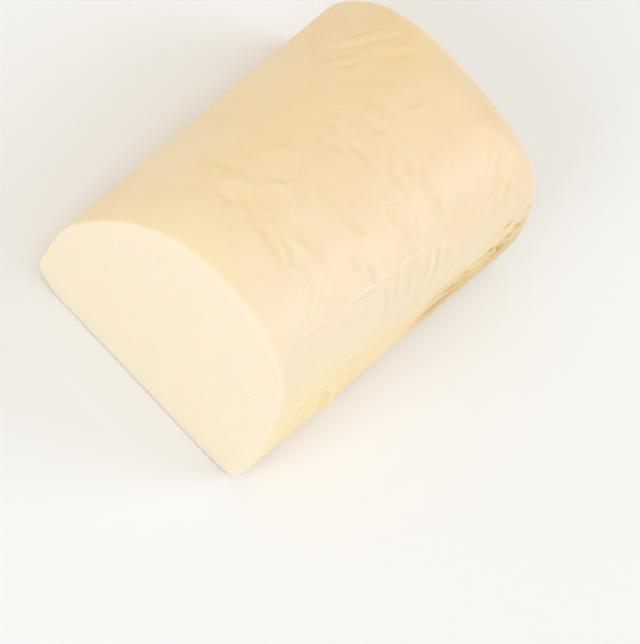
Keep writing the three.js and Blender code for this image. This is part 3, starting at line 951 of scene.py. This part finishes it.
def cheese_material(finish):
    """Young gouda: a pale moist cut and a slightly deeper, satin rind."""
    material = bpy.data.materials.new(LOAF_SLOT)
    board = clean_board(material)
    marks = {
        name: board.node(
            "ShaderNodeAttribute", {"attribute_name": name, "attribute_type": "GEOMETRY"},
            output="Fac")
        for name in ("along", "around", "arc", "skin", "relief", "rub", "wall")
    }
    along = marks["along"]
    around = marks["around"]
    skin = marks["skin"]
    place = board.node("ShaderNodeTexCoord", output="Object")

    # The rind: slow patches, streaks that follow the creases, painted shade that deepens it towards the
    # far end and the -X side, and painted shade in the hollows.
    patches = board.noise(place, 24.0, detail=3.0, roughness=0.55)
    mottle = board.noise(place, 150.0, detail=3.0, roughness=0.6) - 0.5
    streaks = board.streaks(marks["arc"], around, STREAK_SCALES)
    deep = board.smooth(patches, 0.30, 0.72) * PATCH_DEPTH + MEAN_DEPTH
    deep = deep + (streaks - 0.5) * STREAK_DEPTH + mottle * MOTTLE_DEPTH
    # Painted shade: deeper colour towards the far end and towards the -X side.
    for value, (middle, growth) in ((along, SHADE_DEPTH_ALONG), (around, SHADE_DEPTH_AROUND)):
        deep = deep + (value - middle) * growth
    pale_rind = rgba(finish.rind_colour, RIND_LIFT)
    deep_rind = rgba(finish.rind_deep_colour, DEEP_LIFT)
    rind = board.mix(deep.clamped(), pale_rind, deep_rind)
    # Painted shade in the grooves of the relief.
    groove_shade = board.smooth(marks["relief"], *GROOVE_SHADE_RELIEF)
    rind = board.tint(groove_shade * GROOVE_SHADE_SHARE, rind, GROOVE_SHADE_TINT)
    # Painted light and shade, by place on the rind.
    for factors, *steps in PAINTED_LIGHT_TINTS:
        shares = [board.smooth(marks[name], start, end) for name, start, end in steps]
        rind = board.tint(math.prod(shares), rind, factors)
    # Painted shade on the far lower corner, and the warm lip.
    rind = tint_far_corner(board, marks, rind)

    # Dull tan rubs, broken up into streaks and dots.
    rub_dots = board.noise(place, 420.0, detail=3.0, roughness=0.65)
    rub_streaks = board.streaks(along, around, RUB_SCALES)
    broken = board.smooth(rub_dots * 0.5 + rub_streaks * 0.5, *RUB_BREAKS)
    rub = (marks["rub"] * broken).clamped()
    rind = board.mix(rub * RUB_COVER, rind, rgba(finish.rub_colour))

    # The cut: paler, nearly even, with the faintest cloudiness.
    cloud = board.noise(place, 60.0, detail=3.0)
    specks = board.smooth(board.noise(place, 1400.0, detail=1.0), *SPECK_NOISE)
    cut = board.mix(cloud, *(rgba(finish.cut_colour, scale) for scale in CLOUD_RANGE))
    cut = board.mix(specks * SPECK_SHARE, cut, rgba(finish.rind_deep_colour))
    rim = board.smooth(along, *RIM_ALONG, RIM_SHARE, 1.0)
    colour = board.mix(skin * rim, cut, rind)

    # Gloss: satin where the wrap pressed the rind smooth, duller in streaks and on the rubs.
    rind_rough = (streaks - 0.5) * STREAK_GLOSS + mottle * MOTTLE_GLOSS + finish.rind_roughness
    rind_rough = rind_rough + rub * RUB_GLOSS
    cut_rough = (cloud - 0.5) * CLOUD_GLOSS + finish.cut_roughness
    rough = cut_rough + (rind_rough - cut_rough) * skin

    # Fine unevenness: rubbery pores on the rind, drag lines of the knife on the cut.
    pores = board.noise(place, 900.0, detail=2.0, roughness=0.6)
    drag = board.knife_noise(place, DRAG_SCALES, 2.0)
    rind_bump = (pores * PORE_BUMP + streaks * STREAK_BUMP) * skin
    bump = board.node("ShaderNodeBump", None, {
        "Strength": 0.35, "Distance": 0.00012,
        "Height": rind_bump + drag * (1.0 - skin) * DRAG_BUMP,
    })

    shader = board.node("ShaderNodeBsdfPrincipled", {"subsurface_method": "RANDOM_WALK"}, {
        "Base Color": colour, "Roughness": rough, "Normal": bump, "IOR": 1.45,
        "Subsurface Weight": finish.translucence, "Subsurface Radius": (1.0, 0.62, 0.25),
        "Subsurface Scale": 0.004, "Specular IOR Level": 0.42, "Coat Weight": 0.06,
        "Coat Roughness": 0.22,
    })
    board.node("ShaderNodeOutputMaterial", None, {"Surface": shader})
    return material


# ---- operators ------------------------------------------------------------------------------


def find_settings(context):
    scene = context.scene
    return scene.gouda_shape, scene.gouda_skin, scene.gouda_finish, scene.gouda_stage


class GOUDA_OT_build_loaf(Operator):
    """Build the cut loaf with its creased rind"""

    bl_idname = "gouda.build_loaf"
    bl_label = "Build the loaf"

    def execute(self, context):
        shape, skin, finish, _ = find_settings(context)
        material = cheese_material(finish)
        mesh = crease_rind(loaf_mesh(shape, skin), skin, material)
        if not mesh.polygons:
            raise RuntimeError("the loaf came out empty")
        fit_to_box(mesh, CAD_LOW, CAD_HIGH)
        mesh.polygons.foreach_set("use_smooth", [True] * len(mesh.polygons))
        mesh.name = LOAF_PIECE
        loaf = bpy.data.objects.new(LOAF_PIECE, mesh)
        context.scene.collection.objects.link(loaf)
        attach(loaf, "root")
        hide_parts(LOAF_NODE)
        return {"FINISHED"}


def soft_light(name, power, colour, place):
    """A square area light that looks at the loaf."""
    data = bpy.data.lights.new(name, "AREA")
    data.energy = power
    data.color = colour
    data.size = LIGHT_SIZE
    light = bpy.data.objects.new(name, data)
    light.location = place
    light.rotation_euler = (LIGHT_TARGET - Vector(place)).to_track_quat("-Z", "Y").to_euler()
    bpy.context.scene.collection.objects.link(light)


def floor_material(colour):
    material = bpy.data.materials.new("pale_floor")
    board = clean_board(material)
    inputs = {"Base Color": rgba(colour), "Roughness": 0.85}
    shader = board.node("ShaderNodeBsdfPrincipled", None, inputs)
    board.node("ShaderNodeOutputMaterial", None, {"Surface": shader})
    return material


def aim_camera(camera):
    """Puts the camera at the photograph's viewing angle."""
    azimuth = math.radians(CAMERA_AZIMUTH)
    elevation = math.radians(CAMERA_ELEVATION)
    roll = math.radians(CAMERA_ROLL)
    level = math.cos(elevation)
    forward = Vector((math.sin(azimuth) * level, math.cos(azimuth) * level, -math.sin(elevation)))
    level_right = forward.cross(Vector((0, 0, 1))).normalized()
    level_up = level_right.cross(forward)
    right = level_right * math.cos(roll) + level_up * math.sin(roll)
    up = right.cross(forward)
    turn = Matrix((right, up, -forward)).transposed()
    camera.matrix_world = Matrix.Translation(AIM_POINT - forward * CAMERA_DISTANCE) @ turn.to_4x4()


class GOUDA_OT_build_stage(Operator):
    """Build the floor, the soft studio light and the camera"""

    bl_idname = "gouda.build_stage"
    bl_label = "Build the stage"

    def execute(self, context):
        stage = find_settings(context)[3]
        half = stage.floor_size / 2
        mesh = bpy.data.meshes.new("floor")
        corners = [(-half, -half, 0), (half, -half, 0), (half, half, 0), (-half, half, 0)]
        mesh.from_pydata(corners, [], [(0, 1, 2, 3)])
        mesh.materials.append(floor_material(stage.floor_colour))
        floor = bpy.data.objects.new("floor", mesh)
        context.scene.collection.objects.link(floor)

        for name, power, place in LIGHTS:
            soft_light(name, getattr(stage, power), stage.light_colour, place)

        world = bpy.data.worlds.new("room")
        board = clean_board(world)
        inputs = {"Color": rgba(stage.room_colour), "Strength": stage.room_strength}
        light = board.node("ShaderNodeBackground", None, inputs)
        board.node("ShaderNodeOutputWorld", None, {"Surface": light})
        context.scene.world = world

        data = bpy.data.cameras.new("camera")
        data.sensor_width = SENSOR_WIDTH
        data.lens = FOCAL_PIXELS * SENSOR_WIDTH / PHOTO_LONG_SIDE
        data.clip_start = 0.1
        data.clip_end = 20.0
        camera = bpy.data.objects.new("camera", data)
        context.scene.collection.objects.link(camera)
        aim_camera(camera)
        context.scene.camera = camera
        context.scene.view_settings.view_transform = "Standard"
        return {"FINISHED"}


class GOUDA_PT_panel(Panel):
    """Lists the loaf's operators and settings"""

    bl_idname = "GOUDA_PT_panel"
    bl_label = "Gouda"
    bl_space_type = "VIEW_3D"
    bl_region_type = "UI"
    bl_category = "Gouda"

    def draw(self, context):
        layout = self.layout
        for operator in (GOUDA_OT_build_loaf, GOUDA_OT_build_stage):
            layout.operator(operator.bl_idname)
        for settings in find_settings(context):
            box = layout.box()
            for name in settings.__annotations__:
                box.prop(settings, name)


SETTINGS = {
    "gouda_shape": LoafShapeSettings,
    "gouda_skin": LoafSkinSettings,
    "gouda_finish": LoafFinishSettings,
    "gouda_stage": StageSettings,
}
CLASSES = (*SETTINGS.values(), GOUDA_OT_build_loaf, GOUDA_OT_build_stage, GOUDA_PT_panel)


def register():
    for item in CLASSES:
        bpy.utils.register_class(item)
    for name, item in SETTINGS.items():
        setattr(bpy.types.Scene, name, PointerProperty(type=item))


def unregister():
    for name in SETTINGS:
        delattr(bpy.types.Scene, name)
    for item in reversed(CLASSES):
        bpy.utils.unregister_class(item)


def main():
    register()
    bpy.ops.gouda.build_loaf()
    bpy.ops.gouda.build_stage()


if __name__ == "__main__":
    main()
